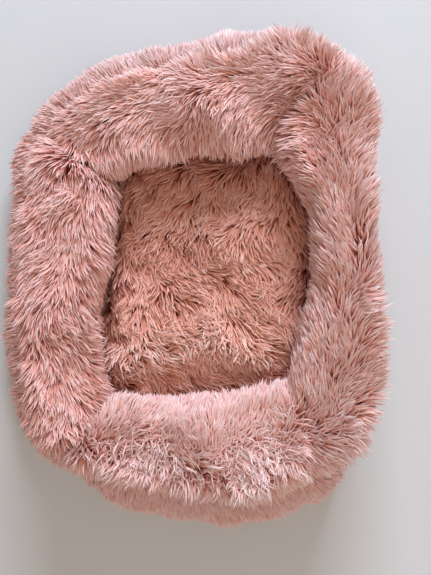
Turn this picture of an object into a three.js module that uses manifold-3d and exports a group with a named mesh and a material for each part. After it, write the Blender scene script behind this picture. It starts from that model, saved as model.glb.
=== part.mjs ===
// Long-pile pet cushion bed: a low plush-sided base, four plump bolsters
// mitred at the corners, and a loose seat cushion in the well.
// Millimetres, +Z up, +X to the right, +Y to the back. Origin: centre of the
// plan on the underside.
import * as THREE from 'three';
import { mergeVertices } from 'three/addons/utils/BufferGeometryUtils.js';
import Module from 'manifold-3d';

const wasm = await Module();
wasm.setup();

// ---------------------------------------------------------------- dimensions
const GAP = 0.4;              // clearance kept between touching pieces
const PANEL_T = 5;            // anti-slip underside with its thin wadding
const BASE_Z1 = 64;           // top seam of the lower tier
const WALL_T = 9;             // plush panel: backing plus mean pile
const DECK_Z0 = 61, DECK_Z1 = 63.2;
const BOLSTER_Z0 = 65.2;      // bolsters stand on the deck
const BOLSTER_H = 119;        // height of a bolster at mid wall
const BOLSTER_H_CORNER = 107; // lower where it is mitred
const COVER_T = 9;            // plush tube: backing plus mean pile
const MITRE_GAP = 1.0;        // between neighbouring covers at a mitre seam
const SEAT_Z0 = 64.0;         // underside of the loose seat cushion
const SEAT_BOTTOM_T = 1.6;
const SEAT_CROWN = 98;
const ZIP_Y = 150;            // the zip runs along X under the back half
const ZIP_HALF = 176;         // half of the slot length
const ZIP_SLOT_HALF_W = 7.5;
const SLIDER_X = -150;        // closed end; it travels 300 mm towards +X
const PLAN_SHIFT = [1.36, 0]; // centres the plan on the origin

// Plan outlines, counter-clockwise. Lower tier, outer faces of the bolsters,
// and the well at the height where the bolsters bulge furthest inward.
const TIER = [[24, 343], [-33, 332], [-90, 318], [-142, 295], [-188, 263],
  [-230, 225], [-252, 176], [-260, 119], [-264, 60], [-266, -4], [-268, -63],
  [-266, -119], [-257, -177], [-242, -230], [-208, -270], [-156, -300],
  [-107, -325], [-51, -341], [10, -346], [69, -348], [125, -344], [174, -323],
  [209, -288], [224, -237], [235, -181], [242, -123], [248, -64], [248, -4],
  [247, 54], [244, 112], [241, 171], [236, 229], [218, 281], [184, 321],
  [140, 343], [84, 348]];
const RING = [[264, 25], [261, 78], [257, 131], [255, 185], [251, 236],
  [235, 279], [198, 304], [147, 306], [95, 297], [37, 290], [-16, 286],
  [-68, 277], [-113, 259], [-154, 228], [-186, 189], [-208, 144], [-219, 93],
  [-222, 40], [-223, -17], [-223, -71], [-222, -123], [-216, -175],
  [-199, -221], [-166, -254], [-121, -272], [-69, -282], [-16, -288],
  [41, -292], [92, -292], [146, -284], [191, -264], [225, -232], [245, -188],
  [255, -137], [261, -84], [265, -33]];
const WELL = [[170, 1], [169, 31], [166, 61], [159, 91], [150, 120],
  [138, 147], [119, 170], [85, 169], [55, 167], [22, 165], [-8, 164],
  [-39, 160], [-67, 151], [-95, 135], [-100, 105], [-99, 75], [-99, 45],
  [-102, 16], [-109, -14], [-116, -43], [-120, -74], [-120, -105],
  [-116, -135], [-105, -164], [-76, -173], [-46, -176], [-16, -177],
  [17, -175], [47, -172], [77, -168], [107, -163], [134, -150], [147, -122],
  [156, -92], [162, -63], [168, -33]];

// Corners, in the order back-left, front-left, front-right, back-right:
// the mitre seam runs from the inner point to the outer point.
const CORNERS = [
  { inner: [-95.5, 134.5], outer: [-184, 193] },
  { inner: [-105.5, -163.5], outer: [-177, -244] },
  { inner: [134, -149.5], outer: [160, -279] },
  { inner: [118.5, 169.5], outer: [222, 289] },
].map((c) => ({
  inner: [c.inner[0] + PLAN_SHIFT[0], c.inner[1] + PLAN_SHIFT[1]],
  outer: [c.outer[0] + PLAN_SHIFT[0], c.outer[1] + PLAN_SHIFT[1]],
}));
// Wall i runs counter-clockwise from corner i to corner i + 1.
const WALLS = [
  { name: 'left', skew: 0.02 },
  { name: 'front', skew: 0.13 },
  { name: 'right', skew: -0.03 },
  { name: 'back', skew: 0.14 },
];

// ---------------------------------------------------------------- materials
const mat = (color, roughness, metalness = 0) =>
  new THREE.MeshStandardMaterial({ color, roughness, metalness });
const M = {
  plush: () => mat(0xd79a90, 0.95),
  plushSeat: () => mat(0xbd7c72, 0.95),
  fill: () => mat(0xf3f1ec, 0.95),
  lining: () => mat(0xc79089, 0.85),
  grip: () => mat(0xb98f8a, 0.8),
  tape: () => mat(0xc98f88, 0.8),
  coil: () => mat(0xd3a29b, 0.4),
  metal: () => mat(0xb9b9bb, 0.35, 1),
};

// ---------------------------------------------------------------- helpers
const outline = (points, n) => {
  const curve = new THREE.CatmullRomCurve3(
    points.map(([x, y]) => new THREE.Vector3(x + PLAN_SHIFT[0], y + PLAN_SHIFT[1], 0)),
    true, 'centripetal');
  curve.arcLengthDivisions = 1200;
  return curve.getSpacedPoints(n).slice(0, n).map((p) => [p.x, p.y]);
};
const normalsOf = (pts) => pts.map((p, i) => {
  const a = pts[(i + pts.length - 1) % pts.length], b = pts[(i + 1) % pts.length];
  const dx = b[0] - a[0], dy = b[1] - a[1], l = Math.hypot(dx, dy);
  return [dy / l, -dx / l];
});
const nearest = (pts, q) => {
  let best = 0, d = Infinity;
  pts.forEach((p, i) => {
    const e = Math.hypot(p[0] - q[0], p[1] - q[1]);
    if (e < d) { d = e; best = i; }
  });
  return best;
};
// Counter-clockwise stretch of a dense closed outline, cut into n equal steps.
const stretch = (pts, i0, i1, n, first, last) => {
  const run = [];
  for (let i = i0; ; i = (i + 1) % pts.length) {
    run.push(pts[i]);
    if (i === i1) break;
  }
  if (first) run[0] = first;
  if (last) run[run.length - 1] = last;
  const s = [0];
  for (let i = 1; i < run.length; i++) {
    s.push(s[i - 1] + Math.hypot(run[i][0] - run[i - 1][0], run[i][1] - run[i - 1][1]));
  }
  const out = [];
  for (let k = 0; k <= n; k++) {
    const t = s[s.length - 1] * k / n;
    let j = 1;
    while (j < s.length - 1 && s[j] < t) j++;
    const f = (t - s[j - 1]) / (s[j] - s[j - 1]);
    out.push([run[j - 1][0] + (run[j][0] - run[j - 1][0]) * f,
      run[j - 1][1] + (run[j][1] - run[j - 1][1]) * f]);
  }
  return out;
};

class Shell {
  constructor() { this.v = []; this.t = []; }
  point(x, y, z) { this.v.push(x, y, z); return this.v.length / 3 - 1; }
  ring(points) { return points.map((p) => this.point(p[0], p[1], p[2])); }
  quad(a, b, c, d) { this.t.push(a, b, c, a, c, d); }
  // Closed rings joined side by side; the outside is on the left of a -> b
  // as seen along the ring direction when flip is false.
  band(r0, r1, flip = false) {
    const n = r0.length;
    for (let i = 0; i < n; i++) {
      const j = (i + 1) % n;
      if (flip) this.quad(r0[i], r1[i], r1[j], r0[j]);
      else this.quad(r0[i], r0[j], r1[j], r1[i]);
    }
  }
  fan(ring, flip = false) {
    let x = 0, y = 0, z = 0;
    for (const i of ring) { x += this.v[3 * i]; y += this.v[3 * i + 1]; z += this.v[3 * i + 2]; }
    const c = this.point(x / ring.length, y / ring.length, z / ring.length);
    ring.forEach((a, i) => {
      const b = ring[(i + 1) % ring.length];
      if (flip) this.t.push(c, b, a); else this.t.push(c, a, b);
    });
  }
  geometry() {
    const g = new THREE.BufferGeometry();
    g.setAttribute('position', new THREE.Float32BufferAttribute(this.v, 3));
    let vol = 0;
    const P = (i) => new THREE.Vector3(this.v[3 * i], this.v[3 * i + 1], this.v[3 * i + 2]);
    for (let i = 0; i < this.t.length; i += 3) {
      vol += P(this.t[i]).dot(P(this.t[i + 1]).cross(P(this.t[i + 2]))) / 6;
    }
    const t = vol < 0 ? this.t.map((_, i, a) => (i % 3 === 1 ? a[i + 1] : i % 3 === 2 ? a[i - 1] : a[i])) : this.t;
    g.setIndex(t);
    g.computeVertexNormals();
    return g;
  }
}
const solidOf = (geometry) => {
  const g = geometry.clone();
  g.deleteAttribute('normal');
  if (g.attributes.uv) g.deleteAttribute('uv');
  const m = mergeVertices(g, 1e-4);
  return new wasm.Manifold(new wasm.Mesh({
    numProp: 3,
    vertProperties: new Float32Array(m.attributes.position.array),
    triVerts: new Uint32Array(m.index.array),
  }));
};
const geometryOf = (solid) => {
  const m = solid.getMesh();
  const g = new THREE.BufferGeometry();
  g.setAttribute('position', new THREE.Float32BufferAttribute(m.vertProperties, 3));
  g.setIndex(new THREE.Uint32BufferAttribute(m.triVerts, 1));
  g.computeVertexNormals();
  return g;
};
const box = (x0, x1, y0, y1, z0, z1) => {
  const g = new THREE.BoxGeometry(x1 - x0, y1 - y0, z1 - z0);
  g.translate((x0 + x1) / 2, (y0 + y1) / 2, (z0 + z1) / 2);
  return g;
};
const rounded = (w, h, r, depth, bevel, steps = 4) => {
  const s = new THREE.Shape();
  const x = w / 2, y = h / 2;
  s.moveTo(-x + r, -y); s.lineTo(x - r, -y); s.absarc(x - r, -y + r, r, -Math.PI / 2, 0);
  s.lineTo(x, y - r); s.absarc(x - r, y - r, r, 0, Math.PI / 2);
  s.lineTo(-x + r, y); s.absarc(-x + r, y - r, r, Math.PI / 2, Math.PI);
  s.lineTo(-x, -y + r); s.absarc(-x + r, -y + r, r, Math.PI, 1.5 * Math.PI);
  const g = new THREE.ExtrudeGeometry(s, {
    depth: depth - 2 * bevel, bevelEnabled: bevel > 0, bevelThickness: bevel,
    bevelSize: bevel, bevelOffset: -bevel, bevelSegments: 1, curveSegments: steps,
  });
  g.translate(0, 0, bevel);
  return g;
};
const bed = new THREE.Group();
const add = (name, geometry, material) => {
  const mesh = new THREE.Mesh(geometry, material);
  mesh.name = name;
  bed.add(mesh);
  return mesh;
};

// ---------------------------------------------------------------- bolsters
const DENSE = 2880;
const ringDense = outline(RING, DENSE);
const wellDense = outline(WELL, DENSE);
const tierDense = outline(TIER, DENSE);
const tierNormal = normalsOf(tierDense);

const STATIONS = 12;
const SECTION = 20;
const power = (c, e) => Math.sign(c) * Math.pow(Math.abs(c), e);
// One closed cross-section between the inner point I and the outer point O.
const section = (I, O, height, skew, inset) => {
  const w = Math.hypot(O[0] - I[0], O[1] - I[1]);
  const ku = (w - 2 * inset) / w, kv = (height - 2 * inset) / height;
  const pts = [];
  for (let m = 0; m < SECTION; m++) {
    const a = 2 * Math.PI * m / SECTION;
    let u = 0.5 + 0.5 * power(Math.cos(a), 0.86);
    const v = 0.5 + 0.5 * power(Math.sin(a), 0.86);
    const lift = Math.max(0, v - 0.45) / 0.55;
    u += skew * 4 * u * (1 - u) * lift;
    const uu = 0.5 + (u - 0.5) * ku, vv = 0.5 + (v - 0.5) * kv;
    pts.push([I[0] + (O[0] - I[0]) * uu, I[1] + (O[1] - I[1]) * uu,
      BOLSTER_Z0 + height * vv]);
  }
  return pts;
};
const shiftLine = (P, from, to, d) => [P[0] + d * to[0], P[1] + d * to[1]];
WALLS.forEach((wall, i) => {
  const c0 = CORNERS[i], c1 = CORNERS[(i + 1) % 4];
  const outer = stretch(ringDense, nearest(ringDense, c0.outer), nearest(ringDense, c1.outer),
    STATIONS, c0.outer, c1.outer);
  const inner = stretch(wellDense, nearest(wellDense, c0.inner), nearest(wellDense, c1.inner),
    STATIONS, c0.inner, c1.inner);
  // Pull both ends back from the mitre seams.
  const back = (c, mid, k) => {
    const dx = c.outer[0] - c.inner[0], dy = c.outer[1] - c.inner[1], l = Math.hypot(dx, dy);
    let n = [dy / l, -dx / l];
    if ((mid[0] - c.inner[0]) * n[0] + (mid[1] - c.inner[1]) * n[1] < 0) n = [-n[0], -n[1]];
    outer[k] = shiftLine(outer[k], null, n, MITRE_GAP / 2);
    inner[k] = shiftLine(inner[k], null, n, MITRE_GAP / 2);
  };
  const mid = [(outer[STATIONS / 2][0] + inner[STATIONS / 2][0]) / 2,
    (outer[STATIONS / 2][1] + inner[STATIONS / 2][1]) / 2];
  back(c0, mid, 0);
  back(c1, mid, STATIONS);
  const rings = (shell, inset) => {
    const out = [];
    for (let k = 0; k <= STATIONS; k++) {
      const t = k / STATIONS, s = Math.sin(Math.PI * t) ** 0.7;
      const h = BOLSTER_H_CORNER + (BOLSTER_H - BOLSTER_H_CORNER) * s;
      out.push(shell.ring(section(inner[k], outer[k], h, 0.05 + (wall.skew - 0.05) * s, inset)));
    }
    return out;
  };
  const cover = new Shell();
  const ro = rings(cover, 0), ri = rings(cover, COVER_T);
  for (let k = 0; k < STATIONS; k++) {
    cover.band(ro[k], ro[k + 1]);
    cover.band(ri[k], ri[k + 1], true);
  }
  cover.band(ri[0], ro[0]);
  cover.band(ro[STATIONS], ri[STATIONS]);
  add('bolster_cover_' + wall.name, cover.geometry(), M.plush());

  const fill = new Shell();
  const rf = rings(fill, COVER_T + GAP + 0.4);
  for (let k = 0; k < STATIONS; k++) fill.band(rf[k], rf[k + 1]);
  fill.fan(rf[0], true);
  fill.fan(rf[STATIONS]);
  add('bolster_fill_' + wall.name, fill.geometry(), M.fill());
});

// ---------------------------------------------------------------- lower tier
// Plush side panel, as insets from the outline and heights: it rises from the
// underside, bulges outward and turns in over the ledge below the bolsters.
const TIER_OUT = [[15, PANEL_T + GAP], [7.5, 12], [2, 22], [0, 34], [2, 46], [7, 55],
  [14, 60.8], [24, 63.8], [34, BASE_Z1 + 0.6], [58, BASE_Z1 + 0.6]];
const TIER_IN = [[15 + WALL_T, PANEL_T + GAP], [16.5, 12.5], [11, 22], [WALL_T, 34], [11, 44.5],
  [15, 50.5], [21, 54], [28, 55.5], [34, BASE_Z1 + 0.6 - WALL_T],
  [58, BASE_Z1 + 0.6 - WALL_T]];
const tierCut = CORNERS.map((c) => nearest(tierDense,
  [c.outer[0] + (c.outer[0] - c.inner[0]) * 0.45, c.outer[1] + (c.outer[1] - c.inner[1]) * 0.45]));
const WALL_STATIONS = 13;
const tierStations = [];
WALLS.forEach((wall, i) => {
  const i0 = tierCut[i], i1 = tierCut[(i + 1) % 4];
  const count = (i1 - i0 + DENSE) % DENSE;
  for (let k = 0; k < WALL_STATIONS; k++) {
    tierStations.push((i0 + Math.round(count * k / WALL_STATIONS)) % DENSE);
  }
  const shell = new Shell();
  const rings = [];
  for (let k = 0; k <= WALL_STATIONS; k++) {
    // The first and last stations stop short of the corner seams.
    const trim = k === 0 ? 1 : k === WALL_STATIONS ? -1 : 0;
    const j = (i0 + Math.round(count * k / WALL_STATIONS) + trim) % DENSE;
    const p = tierDense[j], n = tierNormal[j];
    const profile = [...TIER_OUT, ...[...TIER_IN].reverse()];
    rings.push(shell.ring(profile.map(([d, z]) => [p[0] - n[0] * d, p[1] - n[1] * d, z])));
  }
  for (let k = 0; k < WALL_STATIONS; k++) shell.band(rings[k], rings[k + 1]);
  // End faces: the profile is a curved strip, so it is closed in strips.
  const L = TIER_OUT.length;
  const cap = (r, flip) => {
    for (let q = 0; q < L - 1; q++) {
      const a = r[q], b = r[q + 1], c = r[2 * L - 2 - q], d = r[2 * L - 1 - q];
      if (flip) shell.quad(a, d, c, b); else shell.quad(a, b, c, d);
    }
  };
  cap(rings[0], true);
  cap(rings[WALL_STATIONS], false);
  add('base_wall_' + wall.name, shell.geometry(), M.plush());
});

// Closed stack of outlines, each given as an inset and a height.
const insetRing = (d, z) => tierStations.map((j) =>
  [tierDense[j][0] - tierNormal[j][0] * d, tierDense[j][1] - tierNormal[j][1] * d, z]);
const stack = (levels, ringAt) => {
  const shell = new Shell();
  const rings = levels.map(([d, z]) => shell.ring(ringAt(d, z)));
  for (let k = 0; k + 1 < rings.length; k++) shell.band(rings[k], rings[k + 1]);
  shell.fan(rings[0], true);
  shell.fan(rings[rings.length - 1]);
  return shell.geometry();
};
const slot = (grow, x, z0, z1) => solidOf(box(-x - grow, x + grow,
  ZIP_Y - ZIP_SLOT_HALF_W - grow, ZIP_Y + ZIP_SLOT_HALF_W + grow, z0, z1));

const bottomPanel = solidOf(stack([[18, 0], [14.5, 1.2], [14, 3.5], [14.5, PANEL_T]], insetRing))
  .subtract(slot(0, ZIP_HALF, -1, PANEL_T + 1));
add('bottom_panel', geometryOf(bottomPanel), M.grip());

const fillLevels = TIER_IN.map(([d, z]) => [d + 1.3, z > 40 ? z - 0.9 : z]);
fillLevels[0][1] = PANEL_T + GAP;
fillLevels.push([61.5, DECK_Z0 - GAP]);
const baseFill = solidOf(stack(fillLevels, insetRing))
  .subtract(solidOf(box(-ZIP_HALF - 6, ZIP_HALF + 6, ZIP_Y - 19, ZIP_Y + 19, 0, 9.2)));
add('base_fill', geometryOf(baseFill), M.fill());

add('deck_panel', stack([[59.5, DECK_Z0], [59.5, DECK_Z1]], insetRing), M.lining());

// ---------------------------------------------------------------- seat cushion
const SEAT_N = 48;
const SEAT_INSET = 3.5;
const wellNormal = normalsOf(wellDense);
const seatPlan = [];
for (let k = 0; k < SEAT_N; k++) {
  const j = Math.round(k * DENSE / SEAT_N) % DENSE;
  seatPlan.push([wellDense[j][0] - wellNormal[j][0] * SEAT_INSET,
    wellDense[j][1] - wellNormal[j][1] * SEAT_INSET]);
}
const seatCentre = [0, 1].map((a) => seatPlan.reduce((s, p) => s + p[a], 0) / SEAT_N);
const seatRing = (s, z) => seatPlan.map((p) => [seatCentre[0] + (p[0] - seatCentre[0]) * s,
  seatCentre[1] + (p[1] - seatCentre[1]) * s, z]);
const SEAT_OUT = [[0.965, 66.2], [0.99, 70], [1, 76], [0.985, 82.5], [0.94, 87.5],
  [0.85, 91.5], [0.65, 95], [0.35, 97.3]];
const SEAT_IN = [[0.9, 66.2], [0.922, 70], [0.925, 74], [0.9, 78], [0.845, 81],
  [0.72, 84.6], [0.5, 87.8], [0.25, 89.5]];
const dome = (shell, levels, apex, flip) => {
  const rings = levels.map(([s, z]) => shell.ring(seatRing(s, z)));
  for (let k = 0; k + 1 < rings.length; k++) shell.band(rings[k], rings[k + 1], flip);
  const last = rings[rings.length - 1];
  const c = shell.point(seatCentre[0], seatCentre[1], apex);
  last.forEach((a, i) => {
    const b = last[(i + 1) % last.length];
    if (flip) shell.t.push(c, b, a); else shell.t.push(c, a, b);
  });
  return rings[0];
};
const seatTop = new Shell();
const rimOut = dome(seatTop, SEAT_OUT, SEAT_CROWN, false);
const rimIn = dome(seatTop, SEAT_IN, 90, true);
seatTop.band(rimIn, rimOut);
add('seat_cover_top', seatTop.geometry(), M.plushSeat());

const seatFill = new Shell();
const fillRim = dome(seatFill, SEAT_IN.map(([s, z], k) => [s - 0.007, k === 0 ? z : z - 0.3]), 89.4, false);
seatFill.fan(fillRim, true);
add('seat_fill', seatFill.geometry(), M.fill());

add('seat_cover_bottom', stack([[0.965, SEAT_Z0], [0.965, SEAT_Z0 + SEAT_BOTTOM_T]], seatRing), M.lining());

// ---------------------------------------------------------------- zip
// Tapes lie on top of the underside panel, along the slot.
const TAPE_Z0 = PANEL_T + GAP, TAPE_Z1 = TAPE_Z0 + 0.8;
const COIL_IN = 0.75, COIL_OUT = 2.7, COIL_Z0 = 4.8, COIL_Z1 = 6.9;
const TAPE_IN = 3.1, TAPE_OUT = 17;
const CHAIN_X0 = SLIDER_X - 8, CHAIN_X1 = SLIDER_X + 316;
for (const [side, sign] of [['front', -1], ['back', 1]]) {
  const y = (a, b) => [ZIP_Y + Math.min(sign * a, sign * b), ZIP_Y + Math.max(sign * a, sign * b)];
  add('zip_tape_' + side, box(-ZIP_HALF - 2, ZIP_HALF + 2, ...y(TAPE_IN, TAPE_OUT), TAPE_Z0, TAPE_Z1), M.tape());
  const coil = new THREE.Shape();
  const h = (COIL_Z1 - COIL_Z0) / 2, w = (COIL_OUT - COIL_IN) / 2;
  for (let k = 0; k < 8; k++) {
    const a = Math.PI * (k + 0.5) / 4;
    const px = w * Math.cos(a) / Math.cos(Math.PI / 8), py = h * Math.sin(a) / Math.cos(Math.PI / 8);
    if (k === 0) coil.moveTo(px, py); else coil.lineTo(px, py);
  }
  const g = new THREE.ExtrudeGeometry(coil, { depth: CHAIN_X1 - CHAIN_X0, bevelEnabled: false });
  g.rotateY(Math.PI / 2);
  g.rotateX(Math.PI / 2);
  g.translate(CHAIN_X0, ZIP_Y + sign * (COIL_IN + COIL_OUT) / 2, (COIL_Z0 + COIL_Z1) / 2);
  add('zip_coil_' + side, g, M.coil());
}
// Stops bridge the two coils beyond each end of the chain.
for (const [side, x] of [['left', CHAIN_X0 - 4], ['right', CHAIN_X1 + 4]]) {
  const g = rounded(6, 5.4, 1.2, 2.6, 0.4);
  g.translate(x, ZIP_Y, COIL_Z0 - 0.2);
  add('zip_stop_' + side, g, M.metal());
}

// Slider: a plate above and a plate below the coils, a post between them, and
// a bail on the underside that carries the pull.
const plateLow = rounded(11, 9.4, 2.6, 1.1, 0.25);
plateLow.translate(SLIDER_X, ZIP_Y, 3.3);
const plateHigh = rounded(11, 9.4, 2.6, 1.1, 0.25);
plateHigh.translate(SLIDER_X, ZIP_Y, 7.3);
const post = box(SLIDER_X - 3, SLIDER_X + 3, ZIP_Y - 0.42, ZIP_Y + 0.42, 4.0, 7.8);
const bail = box(SLIDER_X - 2.6, SLIDER_X + 2.6, ZIP_Y - 1.0, ZIP_Y + 1.0, 0.6, 3.8);
const tunnel = new THREE.CylinderGeometry(0.7, 0.7, 4, 32);
tunnel.translate(SLIDER_X, ZIP_Y, 2.25);
const slider = solidOf(plateLow).add(solidOf(plateHigh)).add(solidOf(post))
  .add(solidOf(bail)).subtract(solidOf(tunnel));
add('zip_slider', geometryOf(slider), M.metal());

// Pull: a thin loop whose end bar turns in the bail, with a rounded tab.
const PULL_X = SLIDER_X, PULL_Z = 2.25;
const bar = new THREE.CylinderGeometry(0.5, 0.5, 6.4, 32);
bar.translate(PULL_X, ZIP_Y, PULL_Z);
const arms = [-1, 1].map((s) => box(PULL_X - 0.5, PULL_X + 7, ZIP_Y + s * 2.8 - 0.6, ZIP_Y + s * 2.8 + 0.6,
  PULL_Z - 0.5, PULL_Z + 0.5));
const tab = rounded(20, 7.6, 2.4, 1.2, 0.3);
tab.translate(PULL_X + 15.5, ZIP_Y, PULL_Z - 0.6);
let pull = solidOf(bar);
for (const a of arms) pull = pull.add(solidOf(a));
pull = pull.add(solidOf(tab));
add('zip_pull', geometryOf(pull), M.metal());

export default bed;
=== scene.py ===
import math

import bpy
import numpy as np
from mathutils import Matrix, Vector, geometry, kdtree


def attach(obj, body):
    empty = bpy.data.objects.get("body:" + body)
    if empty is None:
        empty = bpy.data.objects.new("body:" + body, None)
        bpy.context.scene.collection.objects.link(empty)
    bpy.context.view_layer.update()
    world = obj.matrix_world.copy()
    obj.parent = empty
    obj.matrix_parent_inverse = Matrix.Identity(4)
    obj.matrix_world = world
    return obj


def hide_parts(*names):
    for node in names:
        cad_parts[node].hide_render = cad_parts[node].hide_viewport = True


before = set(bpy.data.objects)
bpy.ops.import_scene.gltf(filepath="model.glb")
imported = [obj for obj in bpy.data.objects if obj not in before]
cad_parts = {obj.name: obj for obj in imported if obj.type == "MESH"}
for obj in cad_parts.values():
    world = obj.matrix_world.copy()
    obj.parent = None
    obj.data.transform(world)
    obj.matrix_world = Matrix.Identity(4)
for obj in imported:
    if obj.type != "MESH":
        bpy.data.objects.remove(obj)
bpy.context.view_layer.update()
MM = 0.001

# ------------------------------------------------------------------ the plan
# The same outlines as the frame's, in millimetres: lower tier, outer faces of
# the bolsters, and the well where the bolsters bulge furthest inward.
SHIFT = np.array([1.36, 0.0])
TIER = [[24, 343], [-33, 332], [-90, 318], [-142, 295], [-188, 263],
        [-230, 225], [-252, 176], [-260, 119], [-264, 60], [-266, -4], [-268, -63],
        [-266, -119], [-257, -177], [-242, -230], [-208, -270], [-156, -300],
        [-107, -325], [-51, -341], [10, -346], [69, -348], [125, -344], [174, -323],
        [209, -288], [224, -237], [235, -181], [242, -123], [248, -64], [248, -4],
        [247, 54], [244, 112], [241, 171], [236, 229], [218, 281], [184, 321],
        [140, 343], [84, 348]]
RING = [[264, 25], [261, 78], [257, 131], [255, 185], [251, 236],
        [235, 279], [198, 304], [147, 306], [95, 297], [37, 290], [-16, 286],
        [-68, 277], [-113, 259], [-154, 228], [-186, 189], [-208, 144], [-219, 93],
        [-222, 40], [-223, -17], [-223, -71], [-222, -123], [-216, -175],
        [-199, -221], [-166, -254], [-121, -272], [-69, -282], [-16, -288],
        [41, -292], [92, -292], [146, -284], [191, -264], [225, -232], [245, -188],
        [255, -137], [261, -84], [265, -33]]
WELL = [[170, 1], [169, 31], [166, 61], [159, 91], [150, 120],
        [138, 147], [119, 170], [85, 169], [55, 167], [22, 165], [-8, 164],
        [-39, 160], [-67, 151], [-95, 135], [-100, 105], [-99, 75], [-99, 45],
        [-102, 16], [-109, -14], [-116, -43], [-120, -74], [-120, -105],
        [-116, -135], [-105, -164], [-76, -173], [-46, -176], [-16, -177],
        [17, -175], [47, -172], [77, -168], [107, -163], [134, -150], [147, -122],
        [156, -92], [162, -63], [168, -33]]
CORNERS = [((-95.5, 134.5), (-184, 193)), ((-105.5, -163.5), (-177, -244)),
           ((134, -149.5), (160, -279)), ((118.5, 169.5), (222, 289))]
WALLS = [("left", 0.02), ("front", 0.13), ("right", -0.03), ("back", 0.14)]
BOLSTER_Z0, BOLSTER_H, BOLSTER_H_CORNER = 65.2, 119.0, 107.0
TIER_OUT = [[15, 5.4], [7.5, 12], [2, 22], [0, 34], [2, 46], [7, 55], [14, 60.8],
            [24, 63.8], [34, 64.6], [58, 64.6]]
BACKING = 10.5          # the backing lies this far inside the mean pile surface


def closed_curve(points, per=48):
    """Centripetal Catmull-Rom through a closed list of points."""
    P = np.array(points, float) + SHIFT
    n = len(P)
    out = []
    for i in range(n):
        p0, p1, p2, p3 = P[i - 1], P[i], P[(i + 1) % n], P[(i + 2) % n]
        d0 = np.linalg.norm(p1 - p0) ** 0.5
        d1 = np.linalg.norm(p2 - p1) ** 0.5
        d2 = np.linalg.norm(p3 - p2) ** 0.5
        t1 = ((p1 - p0) / d0 - (p2 - p0) / (d0 + d1) + (p2 - p1) / d1) * d1
        t2 = ((p2 - p1) / d1 - (p3 - p1) / (d1 + d2) + (p3 - p2) / d2) * d1
        t = (np.arange(per) / per)[:, None]
        out.append((2 * t**3 - 3 * t**2 + 1) * p1 + (t**3 - 2 * t**2 + t) * t1
                   + (-2 * t**3 + 3 * t**2) * p2 + (t**3 - t**2) * t2)
    return np.vstack(out)


def resample(run, n):
    d = np.r_[0, np.cumsum(np.linalg.norm(np.diff(run, axis=0), axis=1))]
    t = np.linspace(0, d[-1], n)
    return np.stack([np.interp(t, d, run[:, k]) for k in range(run.shape[1])], axis=1)


def stretch(pts, a, b, n, first, last):
    """Counter-clockwise run of a closed outline from near a to near b."""
    i0 = int(np.argmin(np.linalg.norm(pts - a, axis=1)))
    i1 = int(np.argmin(np.linalg.norm(pts - b, axis=1)))
    idx = np.arange(i0, i1 + 1) if i1 >= i0 else np.r_[np.arange(i0, len(pts)), np.arange(0, i1 + 1)]
    run = pts[idx].copy()
    run[0], run[-1] = first, last
    return resample(run, n)


tier_curve, ring_curve, well_curve = (closed_curve(c) for c in (TIER, RING, WELL))
corner = [(np.array(a) + SHIFT, np.array(b) + SHIFT) for a, b in CORNERS]


def power(c, e):
    return np.sign(c) * np.abs(c) ** e


def smooth(x, a, b):
    t = np.clip((x - a) / (b - a), 0, 1)
    return t * t * (3 - 2 * t)


# ------------------------------------------------------------------ noise
class Noise:
    """Smooth seeded 3-D noise: a few random plane waves, about -1 to 1."""

    def __init__(self, seed, wavelength, waves=14):
        r = np.random.default_rng(seed)
        d = r.normal(size=(waves, 3))
        d /= np.linalg.norm(d, axis=1)[:, None]
        self.k = d * (2 * math.pi / (wavelength * r.uniform(0.7, 1.5, waves)))[:, None]
        self.p = r.uniform(0, 2 * math.pi, waves)
        self.a = math.sqrt(2 / waves)

    def __call__(self, p):
        return np.sin(p @ self.k.T + self.p).sum(axis=1) * self.a


# ------------------------------------------------------------------ meshes
def mesh_object(name, verts, faces, smooth_faces=True):
    me = bpy.data.meshes.new(name)
    me.from_pydata([tuple(v) for v in verts], [], faces)
    if smooth_faces:
        me.polygons.foreach_set("use_smooth", [True] * len(me.polygons))
    me.update()
    ob = bpy.data.objects.new(name, me)
    bpy.context.scene.collection.objects.link(ob)
    return ob


def grid_faces(rows, cols, wrap):
    f = []
    for i in range(rows - 1):
        for j in range(cols if wrap else cols - 1):
            k = (j + 1) % cols
            f.append((i * cols + j, i * cols + k, (i + 1) * cols + k, (i + 1) * cols + j))
    return f


def get_co(ob):
    a = np.empty(len(ob.data.vertices) * 3)
    ob.data.vertices.foreach_get("co", a)
    return a.reshape(-1, 3)


def set_co(ob, co):
    ob.data.vertices.foreach_set("co", np.ascontiguousarray(co, dtype=np.float32).ravel())
    ob.data.update()


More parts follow.
